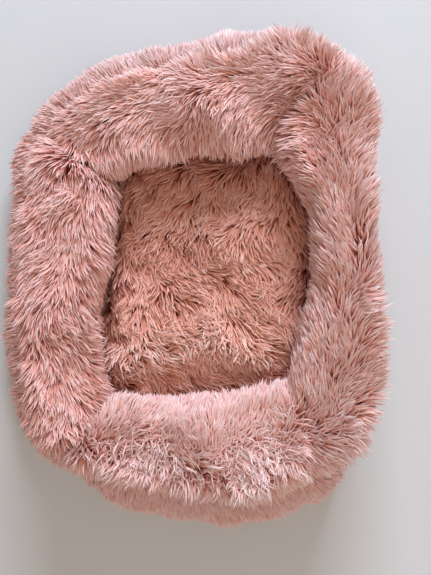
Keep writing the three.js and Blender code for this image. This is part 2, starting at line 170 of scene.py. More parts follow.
def inflate(ob, pinned, pressure=4.0, cap=0.006, frames=20, stiffness=12.0, shrink=-0.03):
    """Cloth simulation of a stuffed cover: pressure from inside, seams pinned,
    and no point moves further than cap."""
    start = get_co(ob)
    group = ob.vertex_groups.new(name="seams")
    group.add([int(i) for i in pinned], 1.0, "REPLACE")
    mod = ob.modifiers.new("Cloth", "CLOTH")
    s = mod.settings
    s.quality = 4
    s.mass = 0.12
    s.tension_stiffness = s.compression_stiffness = stiffness
    s.shear_stiffness = 4.0
    s.bending_stiffness = 0.3
    s.air_damping = 4.0
    s.shrink_min = shrink
    s.use_pressure = True
    s.uniform_pressure_force = pressure
    s.vertex_group_mass = "seams"
    s.pin_stiffness = 1.0
    s.effector_weights.gravity = 0.0
    mod.collision_settings.use_collision = False
    mod.collision_settings.use_self_collision = False
    mod.point_cache.frame_start, mod.point_cache.frame_end = 1, frames
    scene = bpy.context.scene
    scene.frame_start, scene.frame_end = 1, frames
    for f in range(1, frames + 1):
        scene.frame_set(f)
    ev = ob.evaluated_get(bpy.context.evaluated_depsgraph_get())
    me = ev.to_mesh()
    end = np.empty(len(me.vertices) * 3)
    me.vertices.foreach_get("co", end)
    end = end.reshape(-1, 3)
    ev.to_mesh_clear()
    ob.modifiers.remove(mod)
    ob.vertex_groups.remove(group)
    scene.frame_set(1)
    move = end - start
    if not np.isfinite(move).all():
        move[:] = 0
    l = np.linalg.norm(move, axis=1)
    move *= (cap * np.tanh(l / cap) / np.maximum(l, 1e-9))[:, None]
    set_co(ob, start + move)


# ------------------------------------------------------------------ materials
def new_material(name):
    m = bpy.data.materials.new(name)
    m.use_nodes = True
    nt = m.node_tree
    return m, nt, nt.nodes["Principled BSDF"]


def lin(c):
    return tuple(((v / 255) / 12.92 if v / 255 <= 0.04045 else ((v / 255 + 0.055) / 1.055) ** 2.4) for v in c)


def ramp(nt, stops, fac, interp="LINEAR"):
    n = nt.nodes.new("ShaderNodeValToRGB")
    n.color_ramp.interpolation = interp
    els = n.color_ramp.elements
    while len(els) < len(stops):
        els.new(0.5)
    for e, (p, c) in zip(els, stops):
        e.position = p
        e.color = (*lin(c), 1)
    nt.links.new(fac, n.inputs["Fac"])
    return n.outputs["Color"]


def attribute(nt, name):
    n = nt.nodes.new("ShaderNodeAttribute")
    n.attribute_name = name
    return n.outputs["Fac"]


def mixed(nt, kind, fac, a, b):
    n = nt.nodes.new("ShaderNodeMix")
    n.data_type = "RGBA"
    n.blend_type = kind
    n.clamp_result = True
    if isinstance(fac, float):
        n.inputs["Factor"].default_value = fac
    else:
        nt.links.new(fac, n.inputs["Factor"])
    for sock, v in ((n.inputs[6], a), (n.inputs[7], b)):
        if isinstance(v, tuple):
            sock.default_value = (*lin(v), 1)
        else:
            nt.links.new(v, sock)
    return n.outputs[2]


def fur_material(name, root, low, mid, tip, lit_tip):
    """Pile colour along each fibre, deeper at the root and paler at the tip, with a tone of its own for every lock. The
    dark root is partly painted shade deep in the pile. The lock tone also carries painted light and shade: low values
    mix toward a darker ramp, high values toward a paler ramp whose tip colour is a painted highlight."""
    m, nt, bsdf = new_material(name)
    t = attribute(nt, "along")
    tone_and_painted_light = attribute(nt, "tone_and_painted_light")
    base = ramp(nt, [(0.0, root), (0.22, low), (0.55, mid), (1.0, tip)], t)
    deep = ramp(nt, [(0.0, root), (0.32, root), (0.62, low), (1.0, mid)], t)
    light = ramp(nt, [(0.0, root), (0.20, low), (0.48, tip), (1.0, lit_tip)], t)
    lo = nt.nodes.new("ShaderNodeMapRange")
    lo.inputs["From Min"].default_value, lo.inputs["From Max"].default_value = 0.42, 0.0
    nt.links.new(tone_and_painted_light, lo.inputs["Value"])
    hi = nt.nodes.new("ShaderNodeMapRange")
    hi.inputs["From Min"].default_value, hi.inputs["From Max"].default_value = 0.58, 1.0
    nt.links.new(tone_and_painted_light, hi.inputs["Value"])
    c = mixed(nt, "MIX", lo.outputs[0], base, deep)
    c = mixed(nt, "MIX", hi.outputs[0], c, light)
    nt.links.new(c, bsdf.inputs["Base Color"])
    bsdf.inputs["Roughness"].default_value = 0.5
    bsdf.inputs["Specular IOR Level"].default_value = 0.25
    bsdf.inputs["Sheen Weight"].default_value = 0.16
    bsdf.inputs["Sheen Roughness"].default_value = 0.45
    bsdf.inputs["Sheen Tint"].default_value = (*lin((255, 214, 208)), 1)
    return m


def knit_material(name, dark, light, scale=900.0):
    """The knitted backing that the pile is sewn through, coloured dark: partly painted shade deep under the pile."""
    m, nt, bsdf = new_material(name)
    tc = nt.nodes.new("ShaderNodeTexCoord")
    w1 = nt.nodes.new("ShaderNodeTexVoronoi")
    w1.inputs["Scale"].default_value = scale
    nt.links.new(tc.outputs["Object"], w1.inputs["Vector"])
    n1 = nt.nodes.new("ShaderNodeTexNoise")
    n1.inputs["Scale"].default_value = 60.0
    nt.links.new(tc.outputs["Object"], n1.inputs["Vector"])
    a = ramp(nt, [(0.0, dark), (1.0, light)], n1.outputs["Fac"])
    c = mixed(nt, "MULTIPLY", 0.35, a, ramp(nt, [(0.0, (120, 120, 120)), (0.6, (255, 255, 255))], w1.outputs["Distance"]))
    nt.links.new(c, bsdf.inputs["Base Color"])
    bsdf.inputs["Roughness"].default_value = 0.9
    return m


# ------------------------------------------------------------------ fur
COLUMNS = 64


def fur_object(name, roots, normals, comb, length, width, seed, material,
               lift0=0.75, lift1=0.16, clump=0.30, clump_size=5.0 * MM, wild=0.20,
               droop=0.15, painted_light_bias=None, floor=None, ceiling=None, curl=0.10, tousle=None, bends=3):
    """Tapered locks of pile on roots. comb is the direction, along the surface,
    that each lock lies in. A lock is a thin roof: two faces along a ridge."""
    r = np.random.default_rng(seed)
    n = len(roots)
    # Neighbouring locks bend towards each other's path.
    count = max(8, int(n * 0.5 / max(1.0, (clump_size / (3.0 * MM)) ** 2)))
    parents = r.choice(n, size=min(count, n), replace=False)
    tree = kdtree.KDTree(len(parents))
    for i, p in enumerate(roots[parents]):
        tree.insert(p, i)
    tree.balance()
    near = np.fromiter((tree.find(p)[1] for p in roots), int, n)
    parent = parents[near]

    side = unit(np.cross(normals, comb))
    jitter = r.normal(size=(n, 2)).clip(-2.2, 2.2)
    lock_jitter = r.normal(size=(n, 2)).clip(-2.2, 2.2)[parent]
    lift0, lift1 = (np.broadcast_to(np.reshape(x, (-1, 1)), (n, 1)) for x in (lift0, lift1))
    mess = 1.0 if tousle is None else 1.0 + np.reshape(tousle, (-1, 1))
    d0 = unit(normals * lift0 + comb * (1 - 0.35 * lift0))
    d0 = unit(d0 + side * (0.10 * jitter[:, :1] + 0.12 * lock_jitter[:, :1]) * mess + normals * 0.08 * jitter[:, 1:])
    d1 = unit(comb + normals * (lift1 + 0.12 * jitter[:, 1:] * mess)
              + side * mess * (wild * 0.75 * jitter[:, :1] + wild * 0.65 * lock_jitter[:, :1]))
    d1 = unit(d1 + np.array([0, 0, -1.0]) * droop * (0.6 + 0.4 * r.random((n, 1))))
    L = length * (1 + 0.13 * r.normal(size=n).clip(-2, 2))
    phase = r.uniform(0, 2 * math.pi, (n, 1))
    ts = np.array([0.0, 0.36, 0.72, 1.0] if bends == 3 else [0.0, 0.26, 0.54, 0.80, 1.0])
    rows = len(ts) - 1
    path = np.empty((rows + 1, n, 3))
    path[0] = roots
    for k in range(1, rows + 1):
        t = (ts[k] + ts[k - 1]) / 2
        e = t ** 0.75
        d = unit(d0 * (1 - e) + d1 * e + (side * np.sin(phase + 5.0 * t) + normals * 0.6 * np.cos(phase + 4.5 * t)) * curl * mess)
        path[k] = path[k - 1] + d * (L * (ts[k] - ts[k - 1]))[:, None]
    pull = np.broadcast_to(np.reshape(clump, (1, -1)), (1, n)) * ts[:, None] ** 1.6
    path = path + (path[:, parent] + 0.45 * (path[:1] - path[:1, parent]) - path) * pull[..., None]
    if ceiling is not None:
        # The tallest locks are brushed flat.
        over = np.maximum(path[1:, :, 2] - (ceiling - 0.010), 0)
        path[1:, :, 2] += 0.010 * (1 - np.exp(-over / 0.010)) - over
    if floor is not None:
        low = floor + 0.0006 * r.random(n)
        path[1:, :, 2] = np.maximum(path[1:, :, 2], low)
    roll = r.normal(size=(n, 1)) * 0.35
    up = unit(normals * np.cos(roll) + side * np.sin(roll))
    W = width * (1 + 0.16 * r.normal(size=n).clip(-2, 2))
    profile = np.interp(ts, [0, 0.3, 0.55, 0.8, 1], [0.75, 1.0, 0.95, 0.68, 0.0])
    per = 3 * rows + 1
    verts = np.empty((n, per, 3))
    for k in range(rows):
        d = unit(path[k + 1] - path[max(k - 1, 0)])
        across = unit(np.cross(d, up))
        ridge = np.cross(across, d)
        half = (W * profile[k] / 2)[:, None]
        verts[:, 3 * k] = path[k] - across * half
        verts[:, 3 * k + 1] = path[k] + ridge * half * 0.75
        verts[:, 3 * k + 2] = path[k] + across * half
    verts[:, -1] = path[-1]
    base = (np.arange(n) * per)[:, None]
    quads = []
    for k in range(rows - 1):
        q = 3 * k
        quads.append(base + np.array([[q, q + 1, q + 4, q + 3]]))
        quads.append(base + np.array([[q + 1, q + 2, q + 5, q + 4]]))
    q = 3 * (rows - 1)
    tris = [base + np.array([[q, q + 1, q + 3]]), base + np.array([[q + 1, q + 2, q + 3]])]
    loops = np.concatenate(quads + tris, axis=1)
    sizes = np.tile(np.array([4] * (2 * (rows - 1)) + [3, 3]), n)
    starts = np.r_[0, np.cumsum(sizes)[:-1]]
    me = bpy.data.meshes.new(name)
    me.vertices.add(n * per)
    me.vertices.foreach_set("co", verts.astype(np.float32).ravel())
    me.loops.add(loops.size)
    me.loops.foreach_set("vertex_index", loops.astype(np.int32).ravel())
    me.polygons.add(len(sizes))
    me.polygons.foreach_set("loop_start", starts.astype(np.int32))
    me.polygons.foreach_set("use_smooth", np.ones(len(sizes), dtype=bool))
    me.update(calc_edges=True)
    # Tone of each lock, random per lock and clump, plus the painted light and shade of the bias; and how far along it
    # each point is.
    tone_and_painted_light = 0.5 + 0.09 * r.normal(size=n)[parent] + 0.13 * r.normal(size=n)
    if painted_light_bias is not None:
        tone_and_painted_light = tone_and_painted_light + painted_light_bias
    column = np.clip((tone_and_painted_light * COLUMNS).astype(int), 0, COLUMNS - 1)
    along = np.concatenate([np.repeat(ts[:-1], 3), [1.0]])
    a = me.attributes.new("along", "FLOAT", "POINT")
    a.data.foreach_set("value", np.tile(along, n).astype(np.float32))
    a = me.attributes.new("tone_and_painted_light", "FLOAT", "POINT")
    a.data.foreach_set("value", np.repeat((column + 0.5) / COLUMNS, per).astype(np.float32))
    # Texture space: one column for each tone, root at the bottom.
    offset = np.concatenate([np.tile([0.18, 0.5, 0.82], rows), [0.5]])
    u = (column[:, None] + offset[None]) / COLUMNS
    v = np.tile(0.02 + 0.96 * along, (n, 1))
    uv_point = np.stack([u, v], axis=2).reshape(-1, 2)
    layer = me.uv_layers.new(name="OFBake")
    layer.data.foreach_set("uv", uv_point[loops.ravel()].astype(np.float32).ravel())
    me.materials.append(material)
    ob = bpy.data.objects.new(name, me)
    bpy.context.scene.collection.objects.link(ob)
    return ob


def scatter(P, N, weight, count, seed, wrap):
    """Evenly spread random points on a grid of positions. Returns the points,
    and their place in the grid as row and column numbers."""
    r = np.random.default_rng(seed)
    rows, cols = P.shape[:2]
    if wrap:
        P = np.concatenate([P, P[:, :1]], axis=1)
        N = np.concatenate([N, N[:, :1]], axis=1)
        weight = np.concatenate([weight, weight[:, :1]], axis=1)
    a = np.linalg.norm(np.cross(P[1:, :-1] - P[:-1, :-1], P[:-1, 1:] - P[:-1, :-1]), axis=2)
    w = (weight[:-1, :-1] + weight[1:, 1:] + weight[1:, :-1] + weight[:-1, 1:]) / 4
    cum = np.cumsum((a * w).ravel())
    pick = np.searchsorted(cum, (np.arange(count) + r.random(count)) / count * cum[-1])
    pick = np.minimum(pick, len(cum) - 1)
    i, j = np.divmod(pick, P.shape[1] - 1)
    fu, fv = r.random(count), r.random(count)

    def bil(A):
        if wrap:
            A = np.concatenate([A, A[:, :1]], axis=1)
        A00, A10, A01, A11 = A[i, j], A[i + 1, j], A[i, j + 1], A[i + 1, j + 1]
        x, y = (fu[:, None], fv[:, None]) if A.ndim == 3 else (fu, fv)
        return A00 * (1 - x) * (1 - y) + A10 * x * (1 - y) + A01 * (1 - x) * y + A11 * x * y

    return bil, i + fu, j + fv


def unit(v):
    return v / np.maximum(np.linalg.norm(v, axis=-1, keepdims=True), 1e-9)


def frames_of(P, wrap):
    """Unit tangents along rows and columns, and the outward normal."""
    Ts = np.gradient(P, axis=0)
    Tc = (np.roll(P, -1, 1) - np.roll(P, 1, 1)) / 2 if wrap else np.gradient(P, axis=1)
    N = np.cross(Ts, Tc)
    return unit(Ts), unit(Tc), unit(N)


def outward(P, N, wrap_axis=1):
    """Normals turned to point away from the middle of each section."""
    c = P.mean(axis=wrap_axis, keepdims=True)
    return -N if np.einsum("ijk,ijk->", N, P - c) < 0 else N


def fabric_material(name, a, b, thread=0.0011, rough=0.85, bump=0.35, mottle=35.0):
    """Plain woven cloth: two crossed sets of threads, with uneven dyeing."""
    m, nt, bsdf = new_material(name)
    tc = nt.nodes.new("ShaderNodeTexCoord")
    waves = []
    for axis in ("X", "Y"):
        w = nt.nodes.new("ShaderNodeTexWave")
        w.wave_type = "BANDS"
        w.bands_direction = axis
        w.inputs["Scale"].default_value = 0.3183 / thread / 2
        w.inputs["Distortion"].default_value = 0.6
        w.inputs["Detail"].default_value = 1.0
        nt.links.new(tc.outputs["Object"], w.inputs["Vector"])
        waves.append(w.outputs["Fac"])
    mul = nt.nodes.new("ShaderNodeMath")
    mul.operation = "MAXIMUM"
    nt.links.new(waves[0], mul.inputs[0])
    nt.links.new(waves[1], mul.inputs[1])
    n1 = nt.nodes.new("ShaderNodeTexNoise")
    n1.inputs["Scale"].default_value = mottle
    n1.inputs["Detail"].default_value = 4.0
    nt.links.new(tc.outputs["Object"], n1.inputs["Vector"])
    base = ramp(nt, [(0.3, a), (0.7, b)], n1.outputs["Fac"])
    c = mixed(nt, "MULTIPLY", 0.45, base, ramp(nt, [(0.0, (150, 150, 150)), (1.0, (255, 255, 255))], mul.outputs[0]))
    nt.links.new(c, bsdf.inputs["Base Color"])
    bp = nt.nodes.new("ShaderNodeBump")
    bp.inputs["Strength"].default_value = bump
    bp.inputs["Distance"].default_value = 0.0002
    nt.links.new(mul.outputs[0], bp.inputs["Height"])
    nt.links.new(bp.outputs["Normal"], bsdf.inputs["Normal"])
    bsdf.inputs["Roughness"].default_value = rough
    bsdf.inputs["Specular IOR Level"].default_value = 0.2
    bsdf.inputs["Sheen Weight"].default_value = 0.15
    return m


def fibre_material(name):
    """White polyester stuffing: crossing fibres and soft lumps."""
    m, nt, bsdf = new_material(name)
    tc = nt.nodes.new("ShaderNodeTexCoord")
    n1 = nt.nodes.new("ShaderNodeTexNoise")
    n1.inputs["Scale"].default_value = 90.0
    n1.inputs["Detail"].default_value = 8.0
    n1.inputs["Distortion"].default_value = 2.2
    nt.links.new(tc.outputs["Object"], n1.inputs["Vector"])
    c = ramp(nt, [(0.25, (206, 203, 197)), (0.55, (240, 238, 233)), (0.8, (252, 251, 248))], n1.outputs["Fac"])
    nt.links.new(c, bsdf.inputs["Base Color"])
    bsdf.inputs["Roughness"].default_value = 0.95
    bsdf.inputs["Sheen Weight"].default_value = 0.3
    return m


def metal_material(name, a, b, rough=0.34):
    m, nt, bsdf = new_material(name)
    tc = nt.nodes.new("ShaderNodeTexCoord")
    n1 = nt.nodes.new("ShaderNodeTexNoise")
    n1.inputs["Scale"].default_value = 700.0
    n1.inputs["Detail"].default_value = 3.0
    nt.links.new(tc.outputs["Object"], n1.inputs["Vector"])
    nt.links.new(ramp(nt, [(0.3, a), (0.7, b)], n1.outputs["Fac"]), bsdf.inputs["Base Color"])
    bsdf.inputs["Metallic"].default_value = 1.0
    bsdf.inputs["Roughness"].default_value = rough
    return m


def thin(name, top, faces, thickness, outline_loop=None):
    """A closed thin piece of cloth: top points, their faces, and the same
    again a thickness below, joined along every open edge."""
    top = np.asarray(top, float)
    n = len(top)
    me = bpy.data.meshes.new("tmp")
    me.from_pydata([tuple(v) for v in top], [], faces)
    me.update()
    nv = np.empty(n * 3)
    me.vertices.foreach_get("normal", nv)
    nv = nv.reshape(-1, 3)
    bpy.data.meshes.remove(me)
    low = top - nv * thickness
    edges = {}
    for f in faces:
        for a, b in zip(f, (*f[1:], f[0])):
            edges[(a, b)] = edges.get((a, b), 0) + 1
    rim = [(a, b) for a, b in edges if (b, a) not in edges]
    allf = list(faces) + [tuple(reversed([i + n for i in f])) for f in faces]
    allf += [(b, a, a + n, b + n) for a, b in rim]
    return mesh_object(name, np.vstack([top, low]), allf)


# Fewer fibres while trying things out, all of them for the closing renders.
SHARE = 1.0

# How far, in degrees, the nap turns from running along each roll, at even
# steps along it, on its inner and outer side; where the crown line lies
# (radians round the section); and how ruffled the crown is.
NAP = {
    "left": {"inner": [30, 50, 52, 50, 45], "outer": [35, 48, 50, 50, 55], "crown": [1.5, 1.5, 1.55, 1.5, 1.45], "ruffle": 0.8},
    "front": {"inner": [78, 84, 88, 90, 86], "outer": [86, 90, 90, 90, 86], "crown": [1.45, 1.4, 1.4, 1.4, 1.45], "ruffle": 1.7},
    "right": {"inner": [45, 50, 50, 46, 42], "outer": [70, 58, 52, 58, 70], "crown": [1.5, 1.5, 1.55, 1.5, 1.5], "ruffle": 0.4},
    "back": {"inner": [86, 82, 74, 62, 46], "outer": [86, 80, 68, 56, 50], "crown": [1.6, 1.62, 1.6, 1.55, 1.5], "ruffle": 0.6},
}
# How deep the start of each roll is sunk at its seam, in metres.
SINK = {"left": 0.014, "front": 0.012, "right": 0.005, "back": 0.006}
SEAT_RIDGE = [(-0.110, -0.116), (-0.085, -0.106), (-0.051, -0.098), (-0.016, -0.093), (0.018, -0.082), (0.046, -0.086), (0.092, -0.106)]
# Bulges and hollows of the seat: x, y, radius, height in metres.
SEAT_LUMPS = [(-0.030, -0.146, 0.015, -0.005), (0.010, -0.144, 0.015, -0.006), (0.055, -0.140, 0.016, -0.006), (-0.022, 0.012, 0.022, -0.006),
              (0.050, 0.050, 0.030, 0.004), (-0.050, 0.055, 0.028, 0.004), (0.030, -0.025, 0.018, -0.004), (0.100, -0.130, 0.030, -0.004)]
# Tousled places: x, y, radius in metres, and how much painted light (positive, paler) or painted shade (negative,
# darker) goes into the pile there.
TOUSLED = [(0.203, 0.180, 0.038, -0.18), (0.191, 0.137, 0.034, -0.22), (-0.159, -0.076, 0.032, 0.06), (-0.161, -0.207, 0.028, -0.10),
           (0.190, -0.215, 0.044, 0.18), (0.140, 0.296, 0.030, 0.15), (0.012, -0.241, 0.030, 0.06), (0.088, -0.254, 0.030, 0.06),
           (-0.052, 0.046, 0.027, -0.05), (0.004, 0.060, 0.027, -0.05), (-0.031, 0.005, 0.020, -0.10), (0.032, -0.078, 0.024, 0.06)]
# The way the pile lies on the seat: x, y, direction in degrees.
SEAT_LAY = [(-0.066, 0.123, 230), (0.018, 0.122, 230), (0.114, 0.121, 235), (-0.080, 0.053, 265), (-0.024, 0.060, 245),
            (0.038, 0.067, 240), (0.080, 0.032, 340), (0.018, -0.002, 315), (0.073, -0.023, 320), (0.128, 0.087, 265),
            (0.135, -0.023, 230), (-0.052, -0.023, 280), (-0.080, -0.093, 290), (0.004, -0.092, 300),
            (0.073, -0.113, 320), (0.128, -0.133, 315), (-0.052, -0.134, 330)]


def painted_side_shading(q):
    """Painted light and shade across the bed: the pile is painted paler to the right and darker to the left, standing
    in for how the light falls.
    """
    return 0.07 * smooth(q[:, 0], 0.05, 0.20) - 0.20 * smooth(-q[:, 0], 0.05, 0.19)


def tousled(q):
    """How tousled the pile is at each point, and how much painted light or shade goes into its colour there."""
    g = np.stack([np.exp(-((q[:, 0] - x) ** 2 + (q[:, 1] - y) ** 2) / (2 * (0.6 * r_) ** 2)) for x, y, r_, _ in TOUSLED])
    return g.sum(axis=0), np.array([t for *_, t in TOUSLED]) @ g


fur_pink = fur_material("plush_pink_pile", (150, 56, 38), (222, 139, 118), (244, 184, 169), (253, 219, 211), (255, 240, 238))
# The seat's pile and backing are darker, more orange copies of the pink ones: partly the seat cover's own rose colour,
# partly painted shade for the seat lying low in the well.
fur_seat_shaded = fur_material("plush_rose_pile_shaded", (124, 38, 20), (204, 118, 92), (234, 158, 132), (248, 194, 174), (253, 224, 213))
knit_pink = knit_material("plush_backing", (120, 48, 36), (156, 78, 64))
knit_seat_shaded = knit_material("seat_backing_shaded", (104, 38, 24), (140, 64, 48))

# ------------------------------------------------------------------ bolsters
fill_mat = fibre_material("fibre_fill")
lining_mat = fabric_material("lining_fabric", (182, 128, 118), (198, 146, 136))
NS, NA = 84, 72
lump = Noise(5, 0.11)
fine_lump = Noise(6, 0.035)


def shrunk(name, P, N, depth, ends, node, rough=0.0012):
    """The fibre roll inside a tube: its skin, drawn in by depth."""
    Q = P - N * (depth + rough * (1 + fine_lump(P.reshape(-1, 3)).reshape(P.shape[:2])))[..., None]
    Q[0] += (Q[1] - Q[0]) * 0.6
    Q[-1] += (Q[-2] - Q[-1]) * 0.6
    rows, cols = P.shape[:2]
    flat = Q.reshape(-1, 3)
    last = (rows - 1) * cols
    faces = grid_faces(rows, cols, True)
    faces += [(len(flat), (j + 1) % cols, j) for j in range(cols)]
    faces += [(len(flat) + 1, last + j, last + (j + 1) % cols) for j in range(cols)]
    ob = mesh_object(name, np.vstack([flat, flat[:cols].mean(axis=0), flat[-cols:].mean(axis=0)]), faces)
    ob.data.materials.append(fill_mat)
    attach(ob, "bed")
    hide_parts(node)
    return ob


for w, (wall, skew) in enumerate(WALLS):
    (i0, o0), (i1, o1) = corner[w], corner[(w + 1) % 4]
    outer = stretch(ring_curve, o0, o1, NS + 1, o0, o1)
    inner = stretch(well_curve, i0, i1, NS + 1, i0, i1)
    t = np.linspace(0, 1, NS + 1)
    s = np.sin(math.pi * t).clip(0) ** 0.7
    height = BOLSTER_H_CORNER + (BOLSTER_H - BOLSTER_H_CORNER) * s
    lean = 0.05 + (skew - 0.05) * s
    # Distance along the wall from each mitre seam, to draw the seam in.
    mid = (outer + inner) / 2
    d = np.r_[0, np.cumsum(np.linalg.norm(np.diff(mid, axis=0), axis=1))]
    # The roll that ends at a seam swells over the start of the next one.
    pinch = 6.0 * np.exp(-(d / 15.0) ** 2) + 3.0 * np.exp(-((d[-1] - d) / 9.0) ** 2)
    inset = BACKING + 2.0 + pinch
    a = 2 * math.pi * np.arange(NA) / NA
    u0 = 0.5 + 0.5 * power(np.cos(a), 0.86)
    v0 = 0.5 + 0.5 * power(np.sin(a), 0.86)
    lift = np.clip(v0 - 0.45, 0, None) / 0.55
    U = u0[None] + lean[:, None] * (4 * u0 * (1 - u0) * lift)[None]
    wide = np.linalg.norm(outer - inner, axis=1)
    kv = (height - 2 * inset) / height
    # The pile lies flatter, so thinner, on the side of the well.
    near, far = inset - 6.0, inset + 2.5
    UU = (near / wide)[:, None] + U * (1 - (near + far) / wide)[:, None]
    VV = 0.5 + (v0[None] - 0.5) * kv[:, None]
    P = np.empty((NS + 1, NA, 3))
    P[..., :2] = inner[:, None] + (outer - inner)[:, None] * UU[..., None]
    P[..., 2] = BOLSTER_Z0 + height[:, None] * VV - (inset - 1.0)[:, None] * (v0[None] < 0.5) * (1 - 2 * v0[None]) ** 2
    P *= MM
    N = outward(P, frames_of(P, True)[2])
    P -= N * (SINK[wall] * np.exp(-(d / 17.0) ** 2)[:, None] * np.clip(np.cos(a - 1.85), 0, 1)[None])[..., None]
    P += N * (0.0028 * lump(P.reshape(-1, 3)).reshape(P.shape[:2]) * smooth(P[..., 2], 0.068, 0.085))[..., None]
    faces = grid_faces(NS + 1, NA, True)
    flat = P.reshape(-1, 3)
    last = NS * NA
    faces += [(len(flat), (j + 1) % NA, j) for j in range(NA)]
    faces += [(len(flat) + 1, last + j, last + (j + 1) % NA) for j in range(NA)]
    skin = mesh_object("plush_bolster_" + wall, np.vstack([flat, flat[:NA].mean(axis=0), flat[-NA:].mean(axis=0)]), faces)
    inflate(skin, [*range(NA), *range(last, last + NA), len(flat), len(flat) + 1], cap=0.0055)
    flat = get_co(skin)
    # It stands flat on the deck.
    flat[:, 2] = np.maximum(flat[:, 2], (BOLSTER_Z0 + 0.2) * MM)
    set_co(skin, flat)
    skin.data.materials.append(knit_pink)
    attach(skin, "bed")
    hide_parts("bolster_cover_" + wall)

    P = flat[:-2].reshape(NS + 1, NA, 3)
    Ts, Ta, N = frames_of(P, True)
    N = outward(P, N)
    shrunk("stuffing_bolster_" + wall, P, N, 0.0022, None, "bolster_fill_" + wall)

    A = np.tile(a[None], (NS + 1, 1))
    weight = 0.80 + 0.20 * smooth(P[..., 2], 0.085, 0.125)
    weight = weight * (1 - 0.9 * np.exp(-((A - 1.5 * math.pi) / 0.5) ** 2))
    bil, row, col = scatter(P, N, weight, int(18500 * SHARE), 100 + w, True)
    root, nrm, ts, ta = bil(P), unit(bil(N)), unit(bil(Ts)), unit(bil(Ta))
    ang = (col / NA * 2 * math.pi) % (2 * math.pi)
    frac = row / NS
    # The nap runs round the bed. Along the crown it lies with the roll, and it
    # turns outward on one side and into the well on the other.
    lay = NAP[wall]
    at = np.linspace(0, 1, len(lay["inner"]))
    inner_turn = np.radians(np.interp(frac, at, lay["inner"]))
    outer_turn = np.radians(np.interp(frac, at, lay["outer"]))
    crown = np.interp(frac, at, lay["crown"]) + 0.10 * np.sin(9 * frac + w) + 0.20 * Noise(90 + w, 0.07)(root)
    # Locks at the crown fall to either side, so no bare parting shows.
    either = np.random.default_rng(700 + w).normal(size=len(root)).clip(-2, 2)
    part = np.tanh((ang - crown + (0.34 if wall == "front" else 0.14) * either) / (0.20 if wall == "front" else 0.46))
    part = np.where(ang > 1.5 * math.pi, -1.0, part)
    turn = np.where(part > 0, part * inner_turn, part * outer_turn)
    # Low on the inner face it hangs straight down.
    low = (part > 0) * smooth(root[:, 2], 0.120, 0.090)
    turn = turn * (1 - low) + math.pi / 2 * low
    # Low on the outer face it hangs over the ledge.
    skirt = (part < 0) * smooth(root[:, 2], 0.112, 0.084)
    turn = turn * (1 - skirt) - 0.44 * math.pi * skirt
    turn = turn + 0.24 * Noise(40 + w, 0.12)(root) + 0.13 * Noise(60 + w, 0.035)(root)
    standing = np.clip(1 - np.abs(np.tanh((ang - crown) / 0.46)), 0, 1)
    comb = ta * np.sin(turn)[:, None] + ts * np.cos(turn)[:, None]
    comb = unit(comb - nrm * np.einsum("ij,ij->i", comb, nrm)[:, None])
    ruffle, painted_patch_light = tousled(root)
    along_d = np.interp(row, np.arange(NS + 1), d)
    start = np.exp(-(along_d / 16.0) ** 2) * (part > 0)
    length = 31 * MM * (1 + 0.07 * Noise(80 + w, 0.06)(root)) * (1 - 0.25 * start)
    length = length * (1 - 0.12 * (wall == "front") * (part > 0.4))
    length = length * (1 + 0.20 * ruffle.clip(0, 1) * (part < 0.3) + 0.12 * (lay["ruffle"] > 1) * (part < 0.2))
    # Painted light and shade in the pile's tone: paler to the right and darker to the left (not on the front roll),
    # paler on the front roll and its ruffled crown, darker towards the back on inner faces and crowns, darker still on
    # the left roll's inner face, a little paler on outer faces, plus the painted light and shade of the tousled
    # patches.
    fur = fur_object("pile_bolster_" + wall, root, nrm, comb, length, 2.5 * MM, 200 + w, fur_pink, ceiling=0.1965,
                     lift0=0.70 - 0.20 * start,
                     lift1=0.15 - 0.07 * (part > 0.5) + (0.50 if wall == "front" else 0.20) * standing + 0.30 * ruffle - 0.08 * start + 0.10 * (part < -0.3) * (1 - skirt),
                     droop=(0.08 + 0.22 * skirt)[:, None], wild=0.13,
                     clump=0.30 + 0.25 * np.clip(ruffle + standing * lay["ruffle"] * 0.6, 0, 1),
                     tousle=1.0 * standing * lay["ruffle"] + 1.2 * ruffle, painted_light_bias=painted_side_shading(root) * (wall != "front") + 0.05 * (wall == "front") - 0.16 * smooth(root[:, 1], 0.10, 0.20) * (part > -0.3)
                     - 0.10 * smooth(-root[:, 0], 0.05, 0.15) * (part > 0) * (wall == "left") + 0.04 * (part < 0) + 0.10 * standing * (lay["ruffle"] > 1) + painted_patch_light)
    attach(fur, "bed")

# ------------------------------------------------------------------ lower tier
def inside(pts, poly):
    x, y = pts[:, 0], pts[:, 1]
    res = np.zeros(len(pts), bool)
    px, py = poly[:, 0], poly[:, 1]
    qx, qy = np.roll(px, -1), np.roll(py, -1)
    for a, b, c, d in zip(px, py, qx, qy):
        hit = ((b > y) != (d > y)) & (x < (c - a) * (y - b) / (d - b + 1e-18) + a)
        res ^= hit
    return res


def distance(pts, poly):
    """Distance from each point to a closed outline."""
    best = np.full(len(pts), 1e9)
    q = np.roll(poly, -1, 0)
    for a, b in zip(poly, q):
        ab = b - a
        t = np.clip(((pts - a) @ ab) / (ab @ ab), 0, 1)
        best = np.minimum(best, np.linalg.norm(pts - (a + t[:, None] * ab), axis=1))
    return best


NT, NP = 336, 28
tier = resample(np.vstack([tier_curve, tier_curve[:1]]), NT + 1)[:-1]
tn = unit(np.roll(tier, -1, 0) - np.roll(tier, 1, 0))
tn = np.stack([tn[:, 1], -tn[:, 0]], axis=1)
profile = resample(np.array(TIER_OUT, float), NP)
pt = np.gradient(profile, axis=0)
pt /= np.linalg.norm(pt, axis=1)[:, None]
